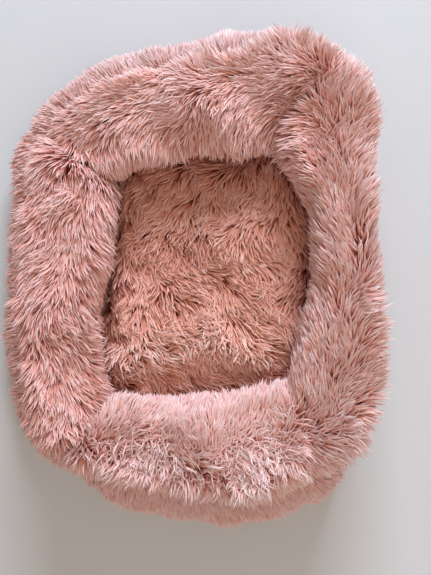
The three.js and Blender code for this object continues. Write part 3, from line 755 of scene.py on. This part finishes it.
# The backing lies inside the pile: (inset, height) moved along the profile's
# inward normal.
depth = BACKING * np.interp(np.arange(NP), [0, 3, NP - 8, NP - 1], [0.15, 1, 1, 0.25])
prof = profile + np.stack([pt[:, 1], -pt[:, 0]], axis=1) * depth[:, None]
prof[:, 1] = np.maximum(prof[:, 1], 5.4)
P = np.empty((NP, NT, 3))
P[..., :2] = tier[None] - tn[None] * prof[:, :1, None]
P[..., 2] = prof[:, 1:2]
P *= MM
puff = 0.0022 * Noise(9, 0.12)(P.reshape(-1, 3)).reshape(NP, NT) * np.sin(math.pi * np.arange(NP) / (NP - 1))[:, None]
P[..., :2] += tn[None] * puff[..., None]
flat = P.reshape(-1, 3)
cen0, cen1 = flat[:NT].mean(axis=0), flat[-NT:].mean(axis=0)
faces = grid_faces(NP, NT, True)
faces += [(len(flat), (j + 1) % NT, j) for j in range(NT)]
faces += [(len(flat) + 1, (NP - 1) * NT + j, (NP - 1) * NT + (j + 1) % NT) for j in range(NT)]
pillow = mesh_object("tier_pillow", np.vstack([flat, cen0, cen1]), faces)
inflate(pillow, [*range(2 * NT), *range((NP - 5) * NT, NP * NT), len(flat), len(flat) + 1], cap=0.004)
P = get_co(pillow)[:-2].reshape(NP, NT, 3)
bpy.data.objects.remove(pillow)
Tr, Tc, N = frames_of(P, True)
side = unit(np.concatenate([tn, np.zeros((NT, 1))], axis=1))
if np.einsum("jk,jk->", N[10], side) < 0:
    N = -N
cut = []
for i_, o_ in corner:
    q = o_ + (o_ - i_) * 0.45
    cut.append(int(np.argmin(np.linalg.norm(tier - q, axis=1))))
ring_plan = ring_curve[::8] * MM
for w, (wall, _) in enumerate(WALLS):
    a0, a1 = cut[w], cut[(w + 1) % 4]
    idx = np.arange(a0, a1 + 1) if a1 > a0 else np.r_[np.arange(a0, NT), np.arange(0, a1 + 1)]
    S, SN, SR, SC = P[:, idx], N[:, idx], Tr[:, idx], Tc[:, idx]
    cols = len(idx)
    f = grid_faces(NP, cols, False)
    v = S.reshape(-1, 3)
    probe = np.cross(S[10, 5] - S[9, 5], S[9, 6] - S[9, 5])
    if np.dot(probe, SN[10, 5]) > 0:
        f = [tuple(reversed(q)) for q in f]
    strip = thin("plush_wall_" + wall, v, f, 0.0022)
    strip.data.materials.append(knit_pink)
    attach(strip, "bed")
    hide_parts("base_wall_" + wall)
    # No pile under the bolsters.
    flat_plan = S.reshape(-1, 3)[:, :2]
    under = inside(flat_plan, ring_plan) & (distance(flat_plan, ring_plan) > 0.034) & (S[..., 2].ravel() > 0.045)
    weight = 1.0 - under.reshape(NP, cols)
    weight[:1] = 0.5
    bil, row, col = scatter(S, SN, weight, int(13500 * SHARE), 300 + w, False)
    root, nrm, tr, tc = bil(S), unit(bil(SN)), unit(bil(SR)), unit(bil(SC))
    sway = Noise(340 + w, 0.14)(root) * 0.28 + Noise(360 + w, 0.045)(root) * 0.18
    comb = -tr + tc * (0.35 + sway)[:, None]
    comb = unit(comb - nrm * np.einsum("ij,ij->i", comb, nrm)[:, None])
    length = 25 * MM * (1 + 0.08 * Noise(380 + w, 0.06)(root)) * (1 - 0.35 * smooth(root[:, 2], 0.014, 0.004))
    # Shorter in the groove where the bolster stands on it, and painted darker there as shade.
    groove = (smooth(-np.where(inside(root[:, :2], ring_plan), -1, 1) * distance(root[:, :2], ring_plan), -0.012, 0.002)
              * smooth(root[:, 2], 0.040, 0.052))
    length = length * (1 - 0.45 * groove)
    # The tier pile's tone is a little paler overall, with painted light and shade: paler to the right and darker to the
    # left, much paler along the back tier where the light falls, and painted shade in the groove.
    fur = fur_object("pile_wall_" + wall, root, nrm, comb, length, 2.35 * MM, 400 + w, fur_pink,
                     lift0=0.75, lift1=0.24 + 0.14 * smooth(root[:, 2], 0.045, 0.055), droop=0.20 * smooth(root[:, 2], 0.0, 0.03)[:, None], wild=0.18,
                     painted_light_bias=0.06 + painted_side_shading(root) + 0.16 * smooth(root[:, 1], 0.16, 0.30) - 0.22 * groove, floor=0.0012)
    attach(fur, "bed")

# Stuffing of the lower tier: the same pillow, drawn in.
Q = P - N * 0.0058
lo, hi, hollow = 0.0062, 0.0595, 0.0105
Q[..., 2] = np.clip(Q[..., 2], lo, hi)
flat = Q[1:].reshape(-1, 3)
rows = NP - 1
faces = grid_faces(rows, NT, True)
k = len(flat)
inner_rings = []
for z, order in ((lo, 0), (hi, rows - 1)):
    ring = flat[order * NT:(order + 1) * NT]
    c = ring.mean(axis=0)
    for sc in (0.9, 0.6, 0.3):
        q = c + (ring - c) * sc
        # Over the zip the stuffing is held up, clear of its slider.
        q[:, 2] = z if order else hollow
        inner_rings.append(q)
flat = np.vstack([flat, *inner_rings, [[0, 0, hollow]], [[0, 0, hi]]])


def ring_faces(a, b):
    return [(a + j, a + (j + 1) % NT, b + (j + 1) % NT, b + j) for j in range(NT)]


c_lo, c_hi = len(flat) - 2, len(flat) - 1
order = [(k + 2 * NT, k + NT), (k + NT, k), (k, 0)]
for a, b in order:
    faces += ring_faces(a, b)
top0 = (rows - 1) * NT
order = [(top0, k + 3 * NT), (k + 3 * NT, k + 4 * NT), (k + 4 * NT, k + 5 * NT)]
for a, b in order:
    faces += ring_faces(a, b)
faces += [(c_lo, k + 2 * NT + (j + 1) % NT, k + 2 * NT + j) for j in range(NT)]
faces += [(c_hi, k + 5 * NT + j, k + 5 * NT + (j + 1) % NT) for j in range(NT)]
base_stuffing = mesh_object("stuffing_base", flat, faces)
base_stuffing.data.materials.append(fill_mat)
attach(base_stuffing, "bed")
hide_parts("base_fill")


def cloth_disc(outline, step, hole=None, seed=0):
    """Flat triangulated piece of cloth inside an outline, all points in plan."""
    r = np.random.default_rng(seed)
    lo, hi = outline.min(axis=0), outline.max(axis=0)
    gx, gy = np.arange(lo[0], hi[0], step), np.arange(lo[1], hi[1], step * 0.87)
    g = np.array([(x + (step / 2 if j % 2 else 0), y) for j, y in enumerate(gy) for x in gx])
    g += r.uniform(-0.08, 0.08, g.shape) * step
    g = g[inside(g, outline)]
    g = g[distance(g, outline) > step * 0.45]
    loops = [outline]
    if hole is not None:
        g = g[~inside(g, hole)]
        g = g[distance(g, hole) > step * 0.3]
        loops.append(hole)
    pts, edges = [], []
    for l in loops:
        s0 = len(pts)
        pts += [Vector(p) for p in l]
        edges += [(s0 + i, s0 + (i + 1) % len(l)) for i in range(len(l))]
    pts += [Vector(p) for p in g]
    out = geometry.delaunay_2d_cdt(pts, edges, [], 1, 1e-7)
    v = np.array([tuple(p) for p in out[0]])
    f = [tuple(q) for q in out[2]]
    if hole is not None:
        cen = np.array([v[list(q)].mean(axis=0) for q in f])
        keep = ~inside(cen, hole)
        f = [q for q, k_ in zip(f, keep) if k_]
    area2 = [(v[q[1]] - v[q[0]])[0] * (v[q[2]] - v[q[0]])[1] - (v[q[1]] - v[q[0]])[1] * (v[q[2]] - v[q[0]])[0] for q in f]
    f = [q if a_ > 0 else tuple(reversed(q)) for q, a_ in zip(f, area2)]
    return v, f


def plan_area(v, f):
    return float(sum(abs(np.cross(v[q[1]] - v[q[0]], v[q[2]] - v[q[0]])) / 2 for q in f))


# ------------------------------------------------------------------ deck
edge = (tier - tn * 59.5)[::3] * MM
v, f = cloth_disc(edge, 0.011, seed=11)
z = 0.0622 + 0.0004 * Noise(21, 0.06)(np.c_[v, np.zeros(len(v))])
deck = thin("deck_cloth", np.c_[v, z], f, 0.0009)
deck.data.materials.append(lining_mat)
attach(deck, "bed")
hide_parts("deck_panel")
size = v.max(axis=0) - v.min(axis=0)
min(plan_area(v, f), float(size[0] * size[1]))

# ------------------------------------------------------------------ underside
grip_mat = fabric_material("anti_slip_fabric", (150, 112, 106), (170, 130, 122), thread=0.0009, rough=0.9)
edge = (tier - tn * 14.6)[::2] * MM
zx, zy, zw = 0.176, 0.150, 0.0075
hole = np.array([(zx, zy - zw), (zx, zy + zw), *[(x, zy + zw) for x in np.linspace(zx, -zx, 40)[1:-1]],
                 (-zx, zy + zw), (-zx, zy - zw), *[(x, zy - zw) for x in np.linspace(-zx, zx, 40)[1:-1]]])
v, f = cloth_disc(edge, 0.009, hole, seed=12)
d_edge, d_slot = distance(v, edge), distance(v, hole)
pucker = Noise(23, 0.03)(np.c_[v, np.zeros(len(v))])
z = 0.0016 + 0.0036 * np.exp(-(d_edge / 0.006) ** 2) + 0.0032 * np.exp(-(d_slot / 0.0045) ** 2)
z += 0.0003 * (1 + pucker)
under = thin("underside_cloth", np.c_[v, z], f, 0.0007)
under.data.materials.append(grip_mat)
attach(under, "bed")
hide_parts("bottom_panel")
size = v.max(axis=0) - v.min(axis=0)
min(plan_area(v, f), float(size[0] * size[1]))

# Rubber grip dots in a staggered grid.
dots = []
pitch = 0.0125
gy = np.arange(edge[:, 1].min(), edge[:, 1].max(), pitch * 0.87)
gx = np.arange(edge[:, 0].min(), edge[:, 0].max(), pitch)
g = np.array([(x + (pitch / 2 if j % 2 else 0), y) for j, y in enumerate(gy) for x in gx])
g = g[inside(g, edge)]
g = g[(distance(g, edge) > 0.009) & ~((np.abs(g[:, 0]) < zx + 0.02) & (np.abs(g[:, 1] - zy) < 0.021))]
ring8 = np.array([(math.cos(k_ * math.pi / 4), math.sin(k_ * math.pi / 4)) for k_ in range(8)])
levels = [(1.9, 0.00165), (1.75, 0.0006), (1.1, 0.0001)]
V = np.concatenate([np.concatenate([np.concatenate([g[:, None] + ring8[None] * r_ * MM, np.full((len(g), 8, 1), z_)], axis=2)
                    for r_, z_ in levels], axis=1)], axis=0)
verts = V.reshape(-1, 3)
faces = []
for q in range(len(g)):
    b = q * 24
    for lv in range(2):
        for j in range(8):
            k_ = (j + 1) % 8
            faces.append((b + lv * 8 + k_, b + lv * 8 + j, b + lv * 8 + 8 + j, b + lv * 8 + 8 + k_))
    faces.append(tuple(b + 16 + j for j in reversed(range(8))))
    faces.append(tuple(b + j for j in range(8)))
grip = mesh_object("grip_dots", verts, faces)
m, nt, bsdf = new_material("grip_rubber")
tc = nt.nodes.new("ShaderNodeTexCoord")
n1 = nt.nodes.new("ShaderNodeTexNoise")
n1.inputs["Scale"].default_value = 300.0
nt.links.new(tc.outputs["Object"], n1.inputs["Vector"])
nt.links.new(ramp(nt, [(0.3, (214, 196, 190)), (0.7, (232, 218, 212))], n1.outputs["Fac"]), bsdf.inputs["Base Color"])
bsdf.inputs["Roughness"].default_value = 0.55
grip.data.materials.append(m)
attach(grip, "bed")

# ------------------------------------------------------------------ zip
tape_mat = fabric_material("zip_tape", (176, 118, 110), (190, 132, 124), thread=0.0008, rough=0.8)
stitches = []
for side_name, sg in (("front", -1), ("back", 1)):
    xs = np.linspace(-0.178, 0.178, 240)
    ys = np.linspace(0.0031, 0.0169, 9)
    X, Y = np.meshgrid(xs, ys, indexing="ij")
    Z = 0.00605 + 0.00006 * np.sin(X * 2200) * np.exp(-((Y - 0.0031) / 0.002) ** 2) + 0.00010 * Noise(31, 0.02)(np.c_[X.ravel(), Y.ravel(), 0 * X.ravel()]).reshape(X.shape)
    top = np.stack([X, 0.150 + sg * Y, Z], axis=2).reshape(-1, 3)
    f = grid_faces(240, 9, False)
    if sg < 0:
        f = [tuple(reversed(q)) for q in f]
    f = [tuple(q) for q in f]
    tape = thin("tape_" + side_name, top, f if sg > 0 else f, 0.0005)
    tape.data.materials.append(tape_mat)
    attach(tape, "bed")
    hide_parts("zip_tape_" + side_name)
    # The coil: one filament wound round, flattened where it meets its twin.
    turns, seg, tube = 240, 12, 5
    tt = np.linspace(0, turns, turns * seg + 1)
    ca, sa = np.cos(2 * math.pi * tt), np.sin(2 * math.pi * tt)
    cx = -0.158 + 0.324 * tt / turns
    cy = 0.150 + sg * (0.001725 + 0.00070 * power(ca, 0.8))
    cz = 0.00585 + 0.00078 * sa
    C = np.stack([cx, cy, cz], axis=1)
    T = unit(np.gradient(C, axis=0))
    B = unit(np.cross(T, np.array([1.0, 0, 0])))
    M2 = np.cross(T, B)
    ph = 2 * math.pi * np.arange(tube) / tube
    R = C[:, None] + 0.00024 * (B[:, None] * np.cos(ph)[None, :, None] + M2[:, None] * np.sin(ph)[None, :, None])
    flat = R.reshape(-1, 3)
    fcs = grid_faces(len(C), tube, True)
    fcs += [tuple(range(tube))[::-1], tuple((len(C) - 1) * tube + j for j in range(tube))]
    coil = mesh_object("coil_" + side_name, flat, fcs)
    m, nt, bsdf = new_material("coil_nylon_" + side_name)
    tc = nt.nodes.new("ShaderNodeTexCoord")
    n1 = nt.nodes.new("ShaderNodeTexNoise")
    n1.inputs["Scale"].default_value = 120.0
    nt.links.new(tc.outputs["Object"], n1.inputs["Vector"])
    nt.links.new(ramp(nt, [(0.3, (196, 140, 132)), (0.7, (212, 158, 150))], n1.outputs["Fac"]), bsdf.inputs["Base Color"])
    bsdf.inputs["Roughness"].default_value = 0.35
    coil.data.materials.append(m)
    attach(coil, "bed")
    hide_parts("zip_coil_" + side_name)
    for off in (0.0048, 0.0066):
        for x in np.arange(-0.170, 0.170, 0.0032):
            stitches.append((x, 0.150 + sg * (0.0075 + off - 0.0030), 0.0))
# Two rows of stitching hold each tape to the underside.
sv, sf = [], []
for x, y, _ in stitches:
    b = len(sv)
    zc = 0.0016 + 0.0032 * math.exp(-((abs(y - 0.150) - 0.0075) / 0.0045) ** 2) - 0.0007
    for dx, rr in ((-0.0012, 0.00012), (-0.0008, 0.00026), (0.0008, 0.00026), (0.0012, 0.00012)):
        for j in range(6):
            an = j * math.pi / 3
            sv.append((x + dx, y + rr * math.cos(an), zc + rr * math.sin(an)))
    for lv in range(3):
        for j in range(6):
            k_ = (j + 1) % 6
            sf.append((b + lv * 6 + j, b + lv * 6 + k_, b + lv * 6 + 6 + k_, b + lv * 6 + 6 + j))
    sf.append(tuple(b + j for j in reversed(range(6))))
    sf.append(tuple(b + 18 + j for j in range(6)))
seam = mesh_object("zip_stitching", sv, sf)
m, nt, bsdf = new_material("sewing_thread")
tc = nt.nodes.new("ShaderNodeTexCoord")
n1 = nt.nodes.new("ShaderNodeTexNoise")
n1.inputs["Scale"].default_value = 400.0
nt.links.new(tc.outputs["Object"], n1.inputs["Vector"])
nt.links.new(ramp(nt, [(0.3, (206, 160, 152)), (0.7, (226, 184, 176))], n1.outputs["Fac"]), bsdf.inputs["Base Color"])
bsdf.inputs["Roughness"].default_value = 0.7
thread_mat = m
seam.data.materials.append(m)
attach(seam, "bed")
steel = metal_material("zip_metal", (168, 168, 170), (200, 200, 202))
for node in ("zip_slider", "zip_pull", "zip_stop_left", "zip_stop_right"):
    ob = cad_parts[node]
    ob.data.materials.clear()
    ob.data.materials.append(steel)

# ------------------------------------------------------------------ seat
NR, NC = 30, 150
wc = resample(np.vstack([well_curve, well_curve[:1]]), NC + 1)[:-1]
wn = unit(np.roll(wc, -1, 0) - np.roll(wc, 1, 0))
wn = np.stack([wn[:, 1], -wn[:, 0]], axis=1)
plan = wc - wn * 3.5
centre = plan.mean(axis=0)
SEAT_OUT = np.array([[0.965, 66.2], [0.99, 70], [1, 76], [0.985, 82.5], [0.94, 87.5], [0.85, 91.5],
                     [0.65, 95], [0.35, 97.3], [0.04, 98]])
seat_prof = resample(SEAT_OUT * np.array([150.0, 1.0]), NR)
seat_prof[:, 0] /= 150.0
back_in = np.interp(np.arange(NR), [0, 4, NR - 1], [-0.01, -0.005, 0.0])
P = np.empty((NR, NC, 3))
P[..., :2] = centre + (plan - centre)[None] * (seat_prof[:, :1] - back_in[:, None])[..., None]
P[..., 2] = seat_prof[:, 1:2] - np.interp(np.arange(NR), [0, 5, NR - 1], [0.0, 9.0, BACKING])[:, None]
P *= MM
swell = 0.0022 * Noise(15, 0.10)(P.reshape(-1, 3)).reshape(NR, NC)
for x, y, r_, h in SEAT_LUMPS:
    swell += h * np.exp(-((P[..., 0] - x) ** 2 + (P[..., 1] - y) ** 2) / (2 * r_**2))
ridge_line = np.array(SEAT_RIDGE)


def ridge(q):
    """1 on the ruffled ridge across the front of the seat, 0 away from it."""
    best = np.full(len(q), 1e9)
    for a, b in zip(ridge_line, ridge_line[1:]):
        t = np.clip(((q[:, :2] - a) @ (b - a)) / ((b - a) @ (b - a)), 0, 1)
        best = np.minimum(best, np.linalg.norm(q[:, :2] - (a + t[:, None] * (b - a)), axis=1))
    return np.exp(-(best / 0.019) ** 2)


swell += 0.007 * ridge(P.reshape(-1, 3)).reshape(NR, NC)
P[..., 2] += swell * smooth(P[..., 2], 0.068, 0.080)
flat = P.reshape(-1, 3)
faces = grid_faces(NR, NC, True)
n0 = len(flat)
faces += [(n0, (j + 1) % NC, j) for j in range(NC)]
faces += [(n0 + 1, (NR - 1) * NC + j, (NR - 1) * NC + (j + 1) % NC) for j in range(NC)]
seat = mesh_object("plush_seat", np.vstack([flat, flat[:NC].mean(axis=0), flat[-NC:].mean(axis=0)]), faces)
inflate(seat, [*range(2 * NC), n0], cap=0.005)
flat = get_co(seat)
seat.data.materials.append(knit_seat_shaded)
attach(seat, "seat_cushion")
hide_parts("seat_cover_top")
P = flat[:-2].reshape(NR, NC, 3)
Tr, Tc, N = frames_of(P, True)
if N[-3, :, 2].mean() < 0:
    N = -N
Q = P - N * 0.0024
Q[..., 2] = np.maximum(Q[..., 2], 0.0664)
flat = Q.reshape(-1, 3)
fcs = grid_faces(NR, NC, True)
fcs += [(len(flat), (j + 1) % NC, j) for j in range(NC)]
fcs += [(len(flat) + 1, (NR - 1) * NC + j, (NR - 1) * NC + (j + 1) % NC) for j in range(NC)]
stuff = mesh_object("stuffing_seat", np.vstack([flat, flat[:NC].mean(axis=0), flat[-NC:].mean(axis=0)]), fcs)
stuff.data.materials.append(fill_mat)
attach(stuff, "seat_cushion")
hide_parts("seat_fill")

bil, row, col = scatter(P, N, np.ones((NR, NC)), int(13500 * SHARE), 500, True)
root, nrm = bil(P), unit(bil(N))
out = unit(np.c_[root[:, :2] - centre * MM, np.zeros(len(root))])
rad = np.interp(row, np.arange(NR), seat_prof[:, 0])
lay = np.zeros((len(root), 2))
for x, y, deg in SEAT_LAY:
    near = np.exp(-((root[:, 0] - x) ** 2 + (root[:, 1] - y) ** 2) / (2 * 0.026**2)) + 1e-6
    lay += near[:, None] * np.array([math.cos(math.radians(deg)), math.sin(math.radians(deg))])
angle = np.arctan2(lay[:, 1], lay[:, 0]) + 0.35 * Noise(520, 0.07)(root) + 0.32 * Noise(521, 0.03)(root)
angle = angle + np.random.default_rng(522).normal(size=len(root)).clip(-2, 2) * (0.16 + 0.25 * np.clip(tousled(root)[0] + ridge(root), 0, 1))
flow = np.stack([np.cos(angle), np.sin(angle), 0 * angle], axis=1)
rim = smooth(rad, 0.84, 0.99)[:, None]
with_flow = np.clip(np.einsum("ij,ij->i", flow, out) + 0.35, 0, 1)[:, None]
comb = flow * (1 - 0.5 * rim * with_flow) + out * 0.9 * rim * with_flow
comb = unit(comb - nrm * np.einsum("ij,ij->i", comb, nrm)[:, None])
on_ridge = ridge(root)
ruffle, painted_patch_light = tousled(root)
ruffle = ruffle + 0.8 * on_ridge
length = (29 + 3 * on_ridge) * MM * (1 + 0.08 * Noise(530, 0.06)(root)) * (1 - 0.15 * smooth(rad, 0.93, 1.0))
# The seat pile is painted paler along the ruffled ridge, a painted highlight where the locks stand up to the light,
# plus the painted light and shade of the tousled patches.
fur = fur_object("pile_seat", root, nrm, comb, length, 2.7 * MM, 540, fur_seat_shaded, bends=4,
                 lift0=0.75, lift1=0.17 + 0.25 * ruffle, droop=0.04, wild=0.17, curl=0.19, clump=0.40, tousle=1.5 * ruffle, floor=0.0665,
                 painted_light_bias=0.30 * on_ridge + painted_patch_light)
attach(fur, "seat_cushion")

edge = (centre + (plan - centre) * 0.96) * MM
v, f = cloth_disc(edge[::2], 0.009, seed=13)
z = 0.0656 - 0.0004 * (1 + Noise(25, 0.04)(np.c_[v, np.zeros(len(v))])) * smooth(distance(v, edge), 0.0, 0.01)
bottom = thin("seat_underside", np.c_[v, z], f, 0.0008)
bottom.data.materials.append(lining_mat)
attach(bottom, "seat_cushion")
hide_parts("seat_cover_bottom")
size = v.max(axis=0) - v.min(axis=0)
min(plan_area(v, f), float(size[0] * size[1]))

# ------------------------------------------------------------------ stage
scene = bpy.context.scene
floor = mesh_object("floor", [(-6, -6, -0.0005), (6, -6, -0.0005), (6, 6, -0.0005), (-6, 6, -0.0005)], [(0, 1, 2, 3)], False)
m, nt, bsdf = new_material("floor_pale")
bsdf.inputs["Base Color"].default_value = (*lin((222, 220, 216)), 1)
bsdf.inputs["Roughness"].default_value = 0.7
floor.data.materials.append(m)

cam = bpy.data.objects.new("camera", bpy.data.cameras.new("camera"))
scene.collection.objects.link(cam)
eye, target = Vector((0.1125, -0.0295, 1.20)), Vector((0.0375, -0.0195, 0.07))
cam.location = eye
back = (eye - target).normalized()
right = Vector((0, 1, 0)).cross(back).normalized()
up = back.cross(right)
cam.rotation_mode = "QUATERNION"
cam.rotation_quaternion = Matrix((right, up, back)).transposed().to_quaternion()
cam.data.sensor_fit = "AUTO"
cam.data.sensor_width = 24.0
cam.data.lens = 24.0 * 803.2 / 575
cam.data.clip_start, cam.data.clip_end = 0.05, 30
scene.camera = cam


def area(name, size, energy, loc, aim, colour=(1, 1, 1)):
    l = bpy.data.lights.new(name, "AREA")
    l.shape = "RECTANGLE"
    l.size, l.size_y = size
    l.energy = energy
    l.color = colour
    o = bpy.data.objects.new(name, l)
    o.location = loc
    o.rotation_mode = "QUATERNION"
    o.rotation_quaternion = (Vector(loc) - Vector(aim)).to_track_quat("Z", "Y")
    scene.collection.objects.link(o)


area("window", (2.0, 1.3), 225, (0.65, 3.7, 2.0), (0, 0, 0.1), (0.70, 0.82, 1.0))
area("room", (1.8, 1.8), 18, (0.6, -1.0, 2.3), (0, 0, 0), (1.0, 0.91, 0.85))
world = bpy.data.worlds.new("world")
world.use_nodes = True
world.node_tree.nodes["Background"].inputs["Color"].default_value = (1.0, 0.90, 0.83, 1)
world.node_tree.nodes["Background"].inputs["Strength"].default_value = 0.29
scene.world = world
scene.view_settings.view_transform = "Standard"
scene.view_settings.look = "None"
